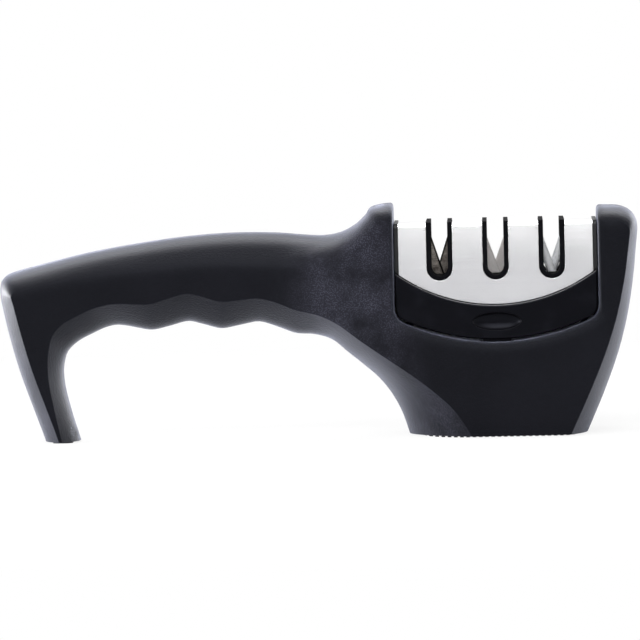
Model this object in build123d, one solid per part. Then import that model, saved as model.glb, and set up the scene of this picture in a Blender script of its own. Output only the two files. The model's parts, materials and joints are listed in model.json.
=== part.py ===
from build123d import *

import os
from math import hypot, sqrt

# Pull-through knife sharpener: a two-shell plastic body with a hooked grip, and a lift-out cartridge
# that holds three sharpening slots under a steel cover.
# All lengths are in millimetres. X runs along the body, -Y is the front, and Z is up from the table.
# The origin lies on the table under the middle slot.

# Cartridge slots
slot_count = 3
slot_pitch = 18.0
slot_width = 8.4
slot_depth = 17.9

# Cartridge housing, set down from the body's top
housing_width = 65.0
housing_depth = 29.8
housing_height = 30.1
housing_drop = 6.1
housing_top_round = 0.8
housing_wall = 2.0
shoulder_width = 1.35
cheek_setback = 0.9
recess_setback = 3.5
guide_play = 0.1
guide_depth = 6.0

# Steel cover
cover_sheet = 0.6
cover_bend = 1.2
cover_side_height = 15.8
cover_arc_radius = 54.05

# Slot liners
liner_fit = 0.1
liner_gap_width = 5.3
liner_web = 1.3
liner_lip = 0.3
liner_window_play = 0.25

# Sharpening elements, one pair in each slot
element_rise = 5.8
element_arm = 10.0
element_split = 0.3
carbide_thickness = 1.8
carbide_width = 3.4
carbide_grind = 0.5
carbide_half_angle = 18.0
diamond_thickness = 2.2
diamond_width = 3.2
diamond_round = 0.6
diamond_half_angle = 20.0
ceramic_diameter = 2.8
ceramic_half_angle = 20.0

# Release panels
panel_thickness = 2.4
panel_standoff = 0.8
panel_gap = 0.9
panel_side_gap = 0.5
panel_seam = 0.3
panel_edge_round = 0.5
panel_axis_drop = 20.3
panel_pin_radius = 0.7
panel_pin_play = 0.05
panel_pin_inset = 0.4
knuckle_radius = 1.2
knuckle_length = 3.0
knuckle_inset = 3.0
dimple_drop = 31.1
dimple_half_length = 7.8
dimple_half_height = 2.9
dimple_depth = 1.6
latch_width = 9.0
latch_length = 2.6
latch_thickness = 1.4
latch_play = 0.8
latch_swing = 2.4

# Release springs, each a bowed strip
spring_sheet = 0.3
spring_span = 18.0
spring_height = 2.4
spring_centre_drop = 27.7
spring_play = 0.1

# Body shells
handle_length = 126.3
pillar_width = 12.0
outline_margin = 1.0
body_height = 74.2
handle_depth = 26.0
base_depth = 46.0
crown_depth = 37.0
flare_start = 44.2
flare_length = 52.0
edge_softness_share = 0.5
shell_wall = 2.6
inset_share = 0.95
shell_seam = 0.1
shell_ground_gap = 0.5
grip_cavity_depth = 20.0
head_cavity_depth = 34.0

# Notch that holds the cartridge
notch_side_gap = 0.3
notch_depth = 43.8
notch_floor_radius = 72.0
notch_corner_radius = 5.0
notch_rim_radius = 1.0
seat_offset = 28.0
seat_width = 2.4
seat_depth = 18.0

# Shell screws, driven from the rear
screw_shank_radius = 1.45
screw_hole_play = 0.05
screw_head_radius = 2.75
screw_head_height = 2.0
screw_socket_radius = 1.1
screw_socket_depth = 1.2
screw_reach = 8.0
screw_seat_depth = 6.0
screw_well_play = 0.3
screw_boss_wall = 1.5

# Base plate and its screws
base_plate_thickness = 2.4
base_plate_margin = 4.5
base_plate_corner = 6.0
base_plate_fit = 0.15
base_screw_shank_radius = 1.2
base_screw_head_radius = 2.4
base_screw_head_height = 1.2
base_screw_reach = 10.0
base_screw_boss_radius = 3.2
base_screw_play = 0.05

# Rubber feet
pad_thickness = 1.0
pad_groove_pitch = 2.0
pad_groove_width = 0.8
pad_groove_depth = 0.45
hook_pad_height = 5.0
hook_pad_length = 6.4
hook_pad_depth = 16.0
hook_pad_corner = 2.0
hook_pad_fit = 0.1

# Cartridge floor plate and its screws
floor_plate_thickness = 1.6
floor_plate_length = 52.4
floor_plate_depth = 22.0
floor_plate_corner = 2.0
floor_screw_shank_radius = 0.9
floor_screw_head_radius = 1.7
floor_screw_head_height = 0.8
floor_screw_reach = 9.0
floor_screw_play = 0.05
floor_post_radius = 2.2
cavity_end_margin = 7.0

# Modelling values
overrun = 6.0
skin_step = 2.0
skin_tolerance = 0.01
cavity_step = 5.0

housing_top = body_height - housing_drop
housing_floor = housing_top - housing_height
slot_floor = housing_top - slot_depth
element_apex = slot_floor + element_rise
panel_axis_height = housing_top - panel_axis_drop
dimple_height = housing_top - dimple_drop
spring_centre_height = housing_top - spring_centre_drop
notch_floor = body_height - notch_depth
housing_half = housing_width / 2
notch_half = housing_half + notch_side_gap
outline_half = notch_half + outline_margin
cover_half = housing_half - shoulder_width
housing_front = housing_depth / 2
cover_front = housing_front + cover_sheet
cover_top = housing_top + cover_sheet
cheek_front = housing_front - cheek_setback
recess_front = housing_front - recess_setback
cavity_front = recess_front - housing_wall
panel_back = housing_front + panel_standoff
panel_front = panel_back + panel_thickness
panel_axis_depth = recess_front + knuckle_radius + panel_standoff
cover_corner_height = housing_top - cover_side_height
cover_arc_centre = cover_corner_height + sqrt(cover_arc_radius**2 - cover_half**2)
notch_arc_centre = notch_floor + notch_floor_radius
plate_bottom = pad_thickness
plate_top = plate_bottom + base_plate_thickness
liner_bottom = slot_floor + liner_fit + liner_web
element_seat = liner_bottom + liner_window_play

# Each row of a side outline is one place on it, in shares: how far along, how high, how far the
# outline draws in and up between the middle of the body and its flat side, how far from the middle
# that starts, how square its edge is, and how much of a full round it makes before the flat side.
# Along is a share of the handle length, from just outside the notch towards the hook.
top_shares = [
    (0.869, -0.135, -0.038, 0.000, 0.50, 1.1, 0.60),
    (0.8915, 0.000, -0.039, 0.004, 0.50, 1.1, 0.60),
    (0.925, 0.162, -0.038, 0.011, 0.50, 1.1, 0.60),
    (0.956, 0.318, -0.037, 0.012, 0.50, 1.1, 0.60),
    (0.980, 0.472, -0.036, 0.011, 0.50, 1.1, 0.60),
    (0.996, 0.606, -0.034, 0.003, 0.45, 1.2, 0.65),
    (1.000, 0.667, -0.033, -0.022, 0.30, 1.5, 0.80),
    (0.996, 0.7035, -0.033, -0.046, 0.15, 1.8, 0.90),
    (0.983, 0.7305, -0.028, -0.066, 0.00, 2.2, 0.96),
    (0.960, 0.7465, -0.017, -0.078, 0.00, 2.1, 0.96),
    (0.896, 0.774, -0.005, -0.086, 0.00, 2.0, 0.96),
    (0.774, 0.822, -0.002, -0.102, 0.00, 2.0, 0.96),
    (0.651, 0.857, -0.002, -0.116, 0.00, 2.0, 0.96),
    (0.524, 0.884, -0.001, -0.127, 0.00, 2.0, 0.96),
    (0.405, 0.896, 0.000, -0.135, 0.00, 2.0, 0.96),
    (0.287, 0.892, 0.000, -0.140, 0.00, 2.0, 0.96),
    (0.207, 0.879, -0.002, -0.129, 0.00, 2.0, 0.96),
    (0.164, 0.877, -0.011, -0.102, 0.00, 2.2, 0.96),
    (0.132, 0.8855, -0.017, -0.078, 0.00, 2.5, 0.96),
    (0.1045, 0.904, -0.021, -0.057, 0.00, 3.0, 0.96),
    (0.082, 0.9285, -0.023, -0.043, 0.00, 3.5, 0.96),
    (0.069, 0.949, -0.023, -0.036, 0.00, 4.0, 0.96),
    (0.059, 0.970, -0.023, -0.032, 0.00, 4.0, 0.96),
    (0.053, 0.9865, -0.022, -0.034, 0.00, 4.0, 0.96),
    (0.044, 0.996, -0.019, -0.039, 0.00, 4.0, 0.96),
    (0.032, 1.001, -0.013, -0.046, 0.00, 4.0, 0.96),
    (0.002, 1.008, -0.003, -0.052, 0.00, 4.0, 0.96),
]

# Along is a share of the right pillar's width, from just outside the notch outwards.
right_shares = [
    (0.100, 0.981, 0.000, -0.055, 0.00, 4.0, 0.96),
    (0.475, 0.978, 0.017, -0.058, 0.00, 4.0, 0.96),
    (0.708, 0.966, -0.050, -0.059, 0.00, 3.6, 0.96),
    (0.867, 0.947, -0.142, -0.051, 0.00, 3.3, 0.96),
    (0.962, 0.921, -0.208, -0.032, 0.20, 2.4, 0.92),
    (0.995, 0.886, -0.225, -0.013, 0.40, 1.6, 0.80),
    (0.955, 0.810, -0.233, 0.000, 0.50, 1.2, 0.65),
    (0.867, 0.674, -0.267, 0.000, 0.50, 1.2, 0.65),
    (0.700, 0.512, -0.325, 0.000, 0.50, 1.2, 0.65),
    (0.450, 0.357, -0.392, 0.000, 0.50, 1.2, 0.65),
    (0.050, 0.182, -0.450, 0.000, 0.50, 1.2, 0.65),
    (-0.400, 0.016, -0.483, 0.000, 0.50, 1.2, 0.65),
    (-0.817, -0.135, -0.517, 0.000, 0.50, 1.2, 0.65),
]

# Along is a share of the handle length, from just outside the notch towards the hook.
underside_shares = [
    (0.7795, -0.135, 0.044, 0.000, 0.45, 1.1, 0.60),
    (0.802, 0.000, 0.043, 0.004, 0.45, 1.1, 0.60),
    (0.8255, 0.135, 0.037, 0.008, 0.45, 1.1, 0.60),
    (0.841, 0.256, 0.035, 0.019, 0.45, 1.1, 0.60),
    (0.842, 0.330, 0.035, 0.039, 0.45, 1.1, 0.60),
    (0.830, 0.395, 0.037, 0.063, 0.38, 1.1, 0.60),
    (0.803, 0.438, 0.039, 0.077, 0.38, 1.1, 0.60),
    (0.766, 0.470, 0.033, 0.086, 0.38, 1.1, 0.60),
    (0.734, 0.4945, 0.022, 0.093, 0.30, 1.1, 0.60),
    (0.702, 0.5055, 0.0095, 0.098, 0.30, 1.1, 0.60),
    (0.663, 0.496, 0.003, 0.1065, 0.30, 1.1, 0.60),
    (0.614, 0.481, 0.002, 0.119, 0.30, 1.1, 0.60),
    (0.568, 0.496, -0.001, 0.127, 0.30, 1.1, 0.60),
    (0.520, 0.515, -0.002, 0.127, 0.30, 1.1, 0.60),
    (0.481, 0.500, -0.002, 0.127, 0.30, 1.1, 0.60),
    (0.437, 0.481, -0.002, 0.124, 0.30, 1.1, 0.60),
    (0.386, 0.4945, -0.002, 0.115, 0.30, 1.1, 0.60),
    (0.340, 0.507, -0.001, 0.108, 0.30, 1.1, 0.60),
    (0.2945, 0.484, -0.002, 0.112, 0.30, 1.1, 0.60),
    (0.247, 0.454, -0.004, 0.108, 0.30, 1.1, 0.60),
    (0.196, 0.446, -0.009, 0.093, 0.30, 1.1, 0.60),
    (0.154, 0.423, -0.017, 0.0755, 0.20, 1.3, 0.66),
    (0.114, 0.367, -0.032, 0.062, 0.20, 1.3, 0.66),
    (0.074, 0.310, -0.053, 0.047, 0.10, 1.5, 0.70),
    (0.034, 0.247, -0.082, 0.030, 0.00, 1.8, 0.72),
    (0.003, 0.178, -0.1085, 0.023, 0.00, 1.8, 0.72),
    (-0.021, 0.100, -0.135, 0.019, 0.00, 1.8, 0.72),
    (-0.038, 0.0135, -0.155, 0.011, 0.00, 1.8, 0.72),
    (-0.062, -0.108, -0.174, 0.000, 0.00, 1.8, 0.72),
]

# Depths across the body at which the skins are laid out, in shares of the half depth there
skin_depth_shares = (0, 0.2, 0.4, 0.58, 0.72, 0.83, 0.91, 0.96, 1, 1.04)

# Shell screws: how far along the handle, counted like the rows, and how high
grip_screw_shares = [(0.667, 0.674), (0.302, 0.660), (0.077, 0.560)]
# Shell screws in the head: shares of the housing's half width, and of the body height
head_screw_shares = [(0.08, 0.20), (0.91, 0.31)]
# Base screws: shares of the housing's half width and of the base's half depth
base_screw_shares = [(-0.37, -0.54), (-0.37, 0.54), (0.52, -0.54), (0.52, 0.54)]


def half_depth(x, z):
    """Half the body's depth at a place on its flat side."""
    lean = (base_depth - crown_depth) * z / body_height
    head = (base_depth - lean) / 2
    grip = handle_depth / 2
    share = (x + outline_half + flare_start) / flare_length
    share = min(1, max(0, share))
    return grip + (head - grip) * share**2 * (3 - 2 * share)


def left_rows(shares):
    rows = []
    for along, up, inward, rise, *edge in shares:
        x = -outline_half - along * handle_length
        rows.append((x, up * body_height, -inward * handle_length, rise * body_height, *edge))
    return rows


def right_rows(shares):
    rows = []
    for along, up, inward, rise, *edge in shares:
        x = outline_half + along * pillar_width
        rows.append((x, up * body_height, inward * pillar_width, rise * body_height, *edge))
    return rows


def between(before, start, end, after, share):
    """Centripetal Catmull-Rom curve between two rows, guided by the rows beside them."""
    times = [0]
    rows = [before, start, end, after]
    for near, far in zip(rows, rows[1:]):
        times.append(times[-1] + sqrt(hypot(far[0] - near[0], far[1] - near[1])))
    time = times[1] + (times[2] - times[1]) * share

    def blend(first, second, low, high):
        weight = (time - low) / (high - low)
        return [a + (b - a) * weight for a, b in zip(first, second)]

    left = blend(before, start, times[0], times[1])
    middle = blend(start, end, times[1], times[2])
    right = blend(end, after, times[2], times[3])
    low = blend(left, middle, times[0], times[2])
    high = blend(middle, right, times[1], times[3])
    return blend(low, high, times[1], times[2])


def smooth_rows(rows, step):
    """The rows of an outline with more rows curved in between them."""
    first = [2 * a - b for a, b in zip(rows[0], rows[1])]
    last = [2 * a - b for a, b in zip(rows[-1], rows[-2])]
    guide = [first] + rows + [last]
    smooth = []
    for index in range(1, len(guide) - 2):
        start = guide[index]
        end = guide[index + 1]
        pieces = max(1, round(hypot(end[0] - start[0], end[1] - start[1]) / step))
        for piece in range(pieces):
            smooth.append(between(guide[index - 1], start, end, guide[index + 2], piece / pieces))
    smooth.append(rows[-1])
    return smooth


def edge_share(across, start, squareness, fullness):
    """How much of its way an outline has drawn in, at a share of the half depth."""
    soft = edge_softness_share * start
    low = (hypot(start, soft) - start) / 2
    high = (hypot(1 - start, soft) + 1 - start) / 2
    full = fullness**squareness
    reach = 1 - (1 - full) ** (1 / squareness)
    if across > 1:
        slope = full * (1 - full) ** (1 / squareness - 1) / reach
        slope *= (1 + (1 - start) / hypot(1 - start, soft)) / 2 / (high - low)
        return 1 + slope * (across - 1)
    across = ((hypot(across - start, soft) + across - start) / 2 - low) / (high - low)
    inside = 1 - (fullness * across) ** squareness
    return (1 - inside ** (1 / squareness)) / reach


def skin(rows):
    """The rounded surface that runs along an outline, from the front side to the rear side."""
    mirrored = [-share for share in skin_depth_shares[:0:-1]] + list(skin_depth_shares)
    grid = []
    for x, z, inward, rise, *edge in smooth_rows(rows, skin_step):
        depth = half_depth(x + inward, z + rise)
        line = []
        for across in mirrored:
            share = edge_share(abs(across), *edge)
            line.append(Vector(x + inward * share, across * depth, z + rise * share))
        grid.append(line)
    return Face.make_surface_from_array_of_points(grid, tol=skin_tolerance, min_deg=3, max_deg=5)


upper_rows = left_rows(top_shares) + right_rows(right_shares)
lower_rows = left_rows(underside_shares)


def plan_face(height):
    """The body's outline from above at one height, run past both ends."""
    left_end = -outline_half - handle_length - 2 * overrun
    right_end = outline_half + pillar_width + 2 * overrun
    flare_left = -outline_half - flare_start
    flare_right = flare_left + flare_length
    third = flare_length / 3
    grip = handle_depth / 2
    head = half_depth(flare_right, height)
    edges = []
    for side in (-1, 1):
        edges.append(Line((left_end, side * grip, height), (flare_left, side * grip, height)))
        edges.append(
            Bezier(
                (flare_left, side * grip, height),
                (flare_left + third, side * grip, height),
                (flare_right - third, side * head, height),
                (flare_right, side * head, height),
            )
        )
        edges.append(Line((flare_right, side * head, height), (right_end, side * head, height)))
    edges.append(Line((left_end, -grip, height), (left_end, grip, height)))
    edges.append(Line((right_end, -head, height), (right_end, head, height)))
    return Face(Wire(edges))


def outer_body():
    """The whole body's outer form, before the notch is cut and it is hollowed."""
    block = loft([plan_face(-overrun), plan_face(body_height + overrun)], ruled=True)
    above = block.split(skin(lower_rows), Keep.BOTH)
    above = max(above, key=lambda piece: piece.center().Z)
    inside = above.split(skin(upper_rows), Keep.BOTH)
    inside = min(inside, key=lambda piece: piece.center().Z)
    return inside.split(Plane.XY.offset(shell_ground_gap), Keep.TOP)


def side_prism(face, half):
    """A prism through the body from a face in the XZ plane."""
    return extrude(face, amount=half, both=True)


def in_side_plane(points):
    return make_face(Polyline(*[(x, 0, z) for x, z in points], close=True))


def arc_height(x, centre, radius):
    return centre - sqrt(radius**2 - x**2)


def notch_face(grow):
    """The notch seen from the front, made larger all round by grow."""
    half = notch_half + grow
    radius = notch_floor_radius + grow
    low = notch_arc_centre - radius
    side = arc_height(half, notch_arc_centre, radius)
    top = body_height + overrun
    floor = ThreePointArc((-half, 0, side), (0, 0, low), (half, 0, side))
    rest = Polyline((half, 0, side), (half, 0, top), (-half, 0, top), (-half, 0, side))
    face = make_face([floor, rest])
    corners = [vertex for vertex in face.vertices() if vertex.Z < top - overrun]
    return fillet(corners, notch_corner_radius + grow)


def rim_edges(body):
    """The edges where the notch meets the outer surfaces."""
    rim = []
    for edge in body.edges():
        middle = edge.position_at(0.5)
        ends = [edge.position_at(0), edge.position_at(1)]
        across = abs(ends[0].Y - ends[1].Y)
        on_wall = all(abs(abs(point.X) - notch_half) < skin_tolerance for point in ends + [middle])
        low = min(point.Z for point in ends + [middle])
        floor_side = arc_height(notch_half, notch_arc_centre, notch_floor_radius) + notch_corner_radius
        on_floor = low > notch_floor - skin_tolerance and max(point.Z for point in ends) < floor_side
        on_floor = on_floor and abs(middle.X) < notch_half
        if on_wall or on_floor:
            rim.append(edge)
    return rim


def cylinder_along(start, direction, length, radius):
    """A round bar from a start point along a direction."""
    return extrude(Plane(origin=start, z_dir=direction) * Circle(radius), amount=length)


def slab(x_range, y_range, z_range):
    """A box between two corners."""
    size = [high - low for low, high in (x_range, y_range, z_range)]
    middle = [(high + low) / 2 for low, high in (x_range, y_range, z_range)]
    return Pos(*middle) * Box(*size)


def screw(start, direction, shank_radius, reach, head_radius, head_height, socket_radius, socket_depth):
    """A socket-headed screw: start is under its head, and direction is the way it is driven."""
    away = [-value for value in direction]
    shank = cylinder_along(start, direction, reach, shank_radius)
    head = cylinder_along(start, away, head_height, head_radius)
    top = Vector(*start) + Vector(*away) * head_height
    socket = extrude(Plane(origin=top, z_dir=direction) * RegularPolygon(socket_radius, 6), socket_depth)
    return shank + head - socket


def outline_points(rows, depth):
    """The side outline at one depth, where the body is deep enough to leave its wall."""
    points = []
    for x, z, inward, rise, *edge in smooth_rows(rows, cavity_step):
        half = half_depth(x + inward, z + rise)
        if half > depth + shell_wall:
            share = edge_share(depth / half, *edge)
            points.append((x + inward * share, z + rise * share))
    return points


def side_distance(place, start, end):
    """How far a place is from the straight side between two points."""
    run = end[0] - start[0]
    climb = end[1] - start[1]
    share = ((place[0] - start[0]) * run + (place[1] - start[1]) * climb) / (run**2 + climb**2)
    share = min(1, max(0, share))
    return hypot(place[0] - start[0] - share * run, place[1] - start[1] - share * climb)


def inset_outline(points):
    """A clockwise outline moved in by the shell wall, without the places that land too near a side."""
    sides = list(zip(points, points[1:] + points[:1]))
    inset = []
    for before, (x, z), after in zip(points[-1:] + points, points, points[1:] + points[:1]):
        run = after[0] - before[0]
        climb = after[1] - before[1]
        length = hypot(run, climb)
        place = (x + shell_wall * climb / length, z - shell_wall * run / length)
        if min(side_distance(place, *side) for side in sides) > inset_share * shell_wall:
            inset.append(place)
    return inset


def cavity(depth):
    """The hollow inside the shells, out to one depth on each side."""
    points = outline_points(upper_rows, depth) + outline_points(lower_rows, depth)[::-1]
    face = in_side_plane(inset_outline(points))
    hollow = side_prism(face, depth) - side_prism(notch_face(shell_wall), depth + overrun)
    return hollow.split(Plane.XY.offset(plate_top), Keep.TOP)


def grip_screw_places():
    places = []
    for along, up in grip_screw_shares:
        places.append((-outline_half - along * handle_length, up * body_height))
    for across, up in head_screw_shares:
        places.append((across * housing_half, up * body_height))
    return places


def base_screw_places():
    return [(across * housing_half, out * base_depth / 2) for across, out in base_screw_shares]


def base_plan(grow):
    """The base opening's outline, rounded like the body's end on the left."""
    left_x = lower_rows[-2][0]
    right_x = upper_rows[-2][0]
    flat_left = left_x + lower_rows[-2][2]
    half = base_depth / 2 - base_plate_margin + grow
    left = left_x + base_plate_margin - grow
    right = right_x - base_plate_margin + grow
    block = Pos((flat_left + right) / 2, 0) * Rectangle(right - flat_left, 2 * half)
    corners = [vertex for vertex in block.vertices() if vertex.X > flat_left + skin_tolerance]
    block = fillet(corners, base_plate_corner + grow)
    return Pos(flat_left, 0) * Ellipse(flat_left - left, half) + block


def hook_pad_plan(grow):
    outer = upper_rows[1][0]
    inner = lower_rows[1][0]
    plan = Rectangle(hook_pad_length + 2 * grow, hook_pad_depth + 2 * grow)
    return Pos((outer + inner) / 2, 0) * fillet(plan.vertices(), hook_pad_corner + grow)


def latch_box(play, low, high, inner):
    """The space of one latch tab at the front, with play round it."""
    half = latch_width / 2 + play
    return slab((-half, half), (-panel_back - latch_thickness - play, -inner), (low, high))


def shells():
    """The front and rear shells, split along the middle."""
    solid = outer_body() - side_prism(notch_face(0), base_depth)
    solid = fillet(rim_edges(solid), notch_rim_radius)
    for side in (-1, 1):
        low = arc_height(seat_offset, notch_arc_centre, notch_floor_radius) - shell_wall / 2
        reach = (side * seat_offset - seat_width / 2, side * seat_offset + seat_width / 2)
        solid += slab(reach, (-seat_depth / 2, seat_depth / 2), (low, housing_floor))
    hollow = cavity(grip_cavity_depth / 2) + cavity(head_cavity_depth / 2)
    hook_right = lower_rows[1][0] + overrun
    hook_left = hook_right - handle_length / 2
    hook_floor = (0, hook_pad_height + shell_wall)
    hollow -= slab((hook_left, hook_right), (-base_depth, base_depth), hook_floor)
    boss_radius = screw_head_radius + screw_well_play + screw_boss_wall
    for x, z in grip_screw_places():
        hollow -= cylinder_along((x, -base_depth, z), (0, 1, 0), 2 * base_depth, boss_radius)
    for x, y in base_screw_places():
        hollow -= cylinder_along((x, y, 0), (0, 0, 1), notch_floor, base_screw_boss_radius)
    solid -= hollow
    for x, z in grip_screw_places():
        hole = screw_shank_radius + screw_hole_play
        depth = screw_reach + screw_hole_play
        well = screw_head_radius + screw_well_play
        solid -= cylinder_along((x, screw_seat_depth, z), (0, -1, 0), screw_seat_depth + depth, hole)
        solid -= cylinder_along((x, screw_seat_depth, z), (0, 1, 0), base_depth, well)
    opening = extrude(base_plan(base_plate_fit), amount=plate_top + overrun)
    solid -= Pos(0, 0, -overrun) * opening
    for x, y in base_screw_places():
        hole = base_screw_shank_radius + base_screw_play
        depth = base_screw_reach + base_screw_play
        solid -= cylinder_along((x, y, 0), (0, 0, 1), plate_bottom + base_screw_head_height + depth, hole)
    solid -= extrude(hook_pad_plan(hook_pad_fit), amount=hook_pad_height)
    slot_low = notch_floor - shell_wall - overrun / 2
    slot = latch_box(latch_play, slot_low, housing_floor, panel_back - latch_swing)
    solid = solid - slot - mirror(slot, about=Plane.XZ)
    front = solid.split(Plane.XZ.offset(shell_seam / 2), Keep.TOP)
    rear = solid.split(Plane.XZ.offset(-shell_seam / 2), Keep.BOTTOM)
    return front, rear


def base_plate():
    plate = Pos(0, 0, plate_bottom) * extrude(base_plan(0), amount=base_plate_thickness)
    for x, y in base_screw_places():
        hole = base_screw_shank_radius + base_screw_play
        plate -= cylinder_along((x, y, 0), (0, 0, 1), plate_top + overrun, hole)
        well = base_screw_head_radius + base_screw_play
        plate -= cylinder_along((x, y, 0), (0, 0, 1), plate_bottom + base_screw_head_height, well)
    return plate


def base_pad():
    """The rubber foot under the base, with cross grooves on its underside."""
    pad = extrude(base_plan(0), amount=pad_thickness)
    count = int(base_depth / pad_groove_pitch)
    for index in range(-count, count):
        middle = (index + 1 / 2) * pad_groove_pitch
        groove = (middle - pad_groove_width / 2, middle + pad_groove_width / 2)
        pad -= slab(groove, (-base_depth, base_depth), (-overrun, pad_groove_depth))
    return pad


def hook_pad():
    return extrude(hook_pad_plan(0), amount=hook_pad_height)


def shell_screws():
    screws = []
    for x, z in grip_screw_places():
        screws.append(
            screw(
                (x, screw_seat_depth, z),
                (0, -1, 0),
                screw_shank_radius,
                screw_seat_depth + screw_reach,
                screw_head_radius,
                screw_head_height,
                screw_socket_radius,
                screw_socket_depth,
            )
        )
    return Compound(children=screws)


def base_screws():
    screws = []
    for x, y in base_screw_places():
        screws.append(
            screw(
                (x, y, plate_bottom + base_screw_head_height),
                (0, 0, 1),
                base_screw_shank_radius,
                base_screw_reach,
                base_screw_head_radius,
                base_screw_head_height,
                screw_socket_radius,
                base_screw_head_height / 2,
            )
        )
    return Compound(children=screws)


def slot_places():
    return [(index - (slot_count - 1) / 2) * slot_pitch for index in range(slot_count)]


def slot_face(x, half, low, high):
    """A slot with a round bottom, seen from the front."""
    centre = low + half
    bottom = ThreePointArc((x - half, 0, centre), (x, 0, low), (x + half, 0, centre))
    rest = Polyline((x + half, 0, centre), (x + half, 0, high), (x - half, 0, high), (x - half, 0, centre))
    return make_face([bottom, rest])


def panel_face(half, top_radius, bottom_radius, corner):
    """The crescent under the steel cover's curved edge, seen from the front."""
    top_side = arc_height(half, cover_arc_centre, top_radius)
    bottom_side = arc_height(half, notch_arc_centre, bottom_radius)
    top_low = cover_arc_centre - top_radius
    bottom_low = notch_arc_centre - bottom_radius
    top = ThreePointArc((-half, 0, top_side), (0, 0, top_low), (half, 0, top_side))
    bottom = ThreePointArc((-half, 0, bottom_side), (0, 0, bottom_low), (half, 0, bottom_side))
    left = Line((-half, 0, top_side), (-half, 0, bottom_side))
    right = Line((half, 0, top_side), (half, 0, bottom_side))
    face = make_face([top, right, bottom, left])
    low_corners = [vertex for vertex in face.vertices() if vertex.Z < (top_side + bottom_side) / 2]
    return fillet(low_corners, corner)


def front_prism(face, near, far):
    """A prism between two depths in front of the middle, from a face in the XZ plane."""
    return Pos(0, -near, 0) * extrude(face, amount=far - near, dir=(0, -1, 0))


def both_sides(piece):
    return piece + mirror(piece, about=Plane.XZ)


def housing_face(gap):
    """The housing seen from the front, at one gap to the notch."""
    reach = (-housing_width, housing_width)
    span = slab(reach, (-overrun, overrun), (housing_floor, housing_top))
    return notch_face(-gap) & span


def housing():
    """The cartridge's moulded housing, open below and slotted on top, with a guide rib on each side."""
    block = side_prism(housing_face(notch_side_gap), housing_front)
    tops = [edge for edge in block.edges().filter_by(Axis.X) if edge.center().Z > housing_top - overrun]
    block = fillet(tops, housing_top_round)
    block += side_prism(housing_face(guide_play), guide_depth / 2)
    for side in (-1, 1):
        ends = sorted((side * (cover_half + liner_fit), side * housing_half))
        across = (-housing_front + housing_top_round, housing_front - housing_top_round)
        block += slab(ends, across, (housing_top - housing_wall, cover_top))
    zone = panel_face(housing_half + overrun, cover_arc_radius, notch_floor_radius + overrun, overrun / 2)
    step = front_prism(zone, cheek_front, housing_front + overrun)
    zone_inner = zone & in_side_plane(
        [
            (-housing_half + housing_wall, 0),
            (housing_half - housing_wall, 0),
            (housing_half - housing_wall, body_height),
            (-housing_half + housing_wall, body_height),
        ]
    )
    recess = front_prism(zone_inner, recess_front, housing_front)
    block = block - both_sides(step) - both_sides(recess)
    inner = slot_pitch * (slot_count - 1) / 2 + cavity_end_margin
    hollow = slab((-inner, inner), (-cavity_front, cavity_front), (0, housing_top - housing_wall))
    for side in (-1, 1):
        hollow -= cylinder_along((side * slot_pitch / 2, 0, 0), (0, 0, 1), body_height, floor_post_radius)
    block -= hollow
    for x in slot_places():
        block -= side_prism(slot_face(x, slot_width / 2, slot_floor, body_height), housing_depth)
    hole = panel_pin_radius + panel_pin_play
    for side in (-1, 1):
        start = (-housing_width, side * panel_axis_depth, panel_axis_height)
        block -= cylinder_along(start, (1, 0, 0), 2 * housing_width, hole)
        start = (side * slot_pitch / 2, 0, 0)
        reach = housing_floor + floor_screw_reach + floor_screw_play
        block -= cylinder_along(start, (0, 0, 1), reach, floor_screw_shank_radius + floor_screw_play)
    return block


def steel_cover():
    """The bent sheet over the housing, with one round-bottomed slot for each stage."""
    sheet = extrude(cover_profile(), amount=cover_half, both=True)
    reach = cover_half + overrun
    side = arc_height(reach, cover_arc_centre, cover_arc_radius)
    curve = ThreePointArc((-reach, 0, side), (0, 0, cover_arc_centre - cover_arc_radius), (reach, 0, side))
    rest = Polyline((reach, 0, side), (reach, 0, 0), (-reach, 0, 0), (-reach, 0, side))
    sheet -= side_prism(make_face([curve, rest]), housing_depth)
    for x in slot_places():
        sheet -= side_prism(slot_face(x, slot_width / 2, slot_floor, body_height), housing_depth)
    return sheet


def cover_profile():
    """The cover's bent section, seen from the end."""

    def arch(half, top, radius):
        points = [(0, -half, housing_floor), (0, -half, top), (0, half, top), (0, half, housing_floor)]
        face = make_face(Polyline(*points, close=True))
        corners = [vertex for vertex in face.vertices() if vertex.Z > housing_floor + overrun]
        return fillet(corners, radius)

    return arch(cover_front, cover_top, cover_bend) - arch(housing_front, housing_top, cover_bend / 2)


def liner(x, window_half):
    """The black channel in one slot, with a window for the pair that crosses it."""
    outer_half = slot_width / 2 - liner_fit
    inner_half = liner_gap_width / 2
    low = slot_floor + liner_fit
    high = cover_top + liner_lip
    outer = slot_face(x, outer_half, low, high)
    inner = slot_face(x, inner_half, liner_bottom, high + overrun)
    channel = side_prism(outer - inner, cover_front + liner_fit)
    window = (liner_bottom, element_apex + element_arm)
    reach = (x - slot_width, x + slot_width)
    return channel - slab(reach, (-window_half, window_half), window)


def leaning(piece, x, side, half_angle):
    """Turns an upright piece about the apex to make one side of the V, and cuts its foot level."""
    leant = Pos(x, 0, element_apex) * Rot(0, side * half_angle, 0) * piece
    return leant.split(Plane.XY.offset(element_seat), Keep.TOP)


def plate_element(width, thickness, side, edge):
    """An upright plate beside the V's inner edge, before it leans."""
    reach = sorted((0, side * width))
    near = sorted((side * element_split / 2, side * (element_split / 2 + thickness)))
    plate = slab(reach, near, (element_seat - element_apex - width, element_arm))
    inner = [item for item in plate.edges().filter_by(Axis.Z) if abs(item.center().X) < width / 2]
    return edge(inner)


def carbide_blade(x, side):
    plate = plate_element(carbide_width, carbide_thickness, side, lambda e: chamfer(e, carbide_grind))
    return leaning(plate, x, side, carbide_half_angle)


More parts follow.
